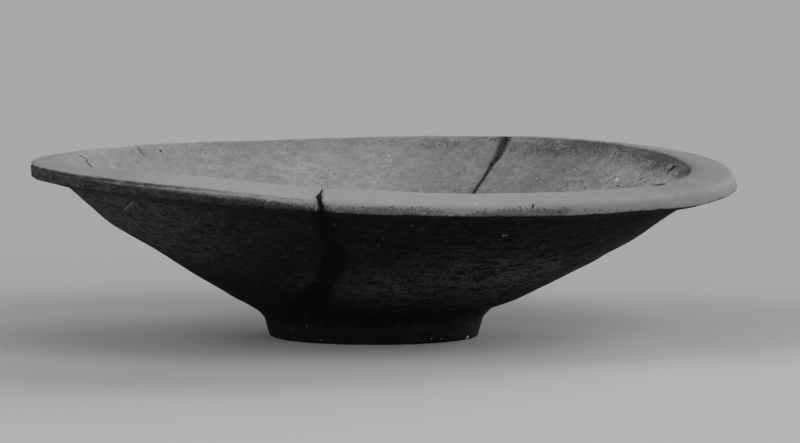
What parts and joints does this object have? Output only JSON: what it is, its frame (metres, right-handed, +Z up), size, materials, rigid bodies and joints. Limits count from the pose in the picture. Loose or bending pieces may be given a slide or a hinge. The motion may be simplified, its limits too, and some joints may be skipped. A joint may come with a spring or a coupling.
{
  "type": "shallow pottery bowl",
  "caption": "Shallow round pottery bowl with a wide drooping rim, slanting walls and a low foot, mended from sherds; it stands on its foot and holds loose things.",
  "frame": {"origin": "on the ground under the middle of the rim; the foot's own middle lies 3.2 mm to the left of it", "axes": "+Z up out of the bowl, -Y towards the side with the wide filled break, +X to that side's right"},
  "size_m": [0.25, 0.25, 0.0653],
  "materials": {
    "fired_clay": "matte",
    "dark_fill": "matte",
    "glue": "matte"
  },
  "bodies": {
    "root": {"foot_and_right_wall": "fired_clay", "back_left_sherd": "fired_clay", "left_sherd": "fired_clay", "front_left_sherd": "fired_clay", "front_fill": "dark_fill", "back_fill": "dark_fill", "left_join": "glue", "back_left_join": "glue", "foot_join": "glue"}
  },
  "joints": []
}
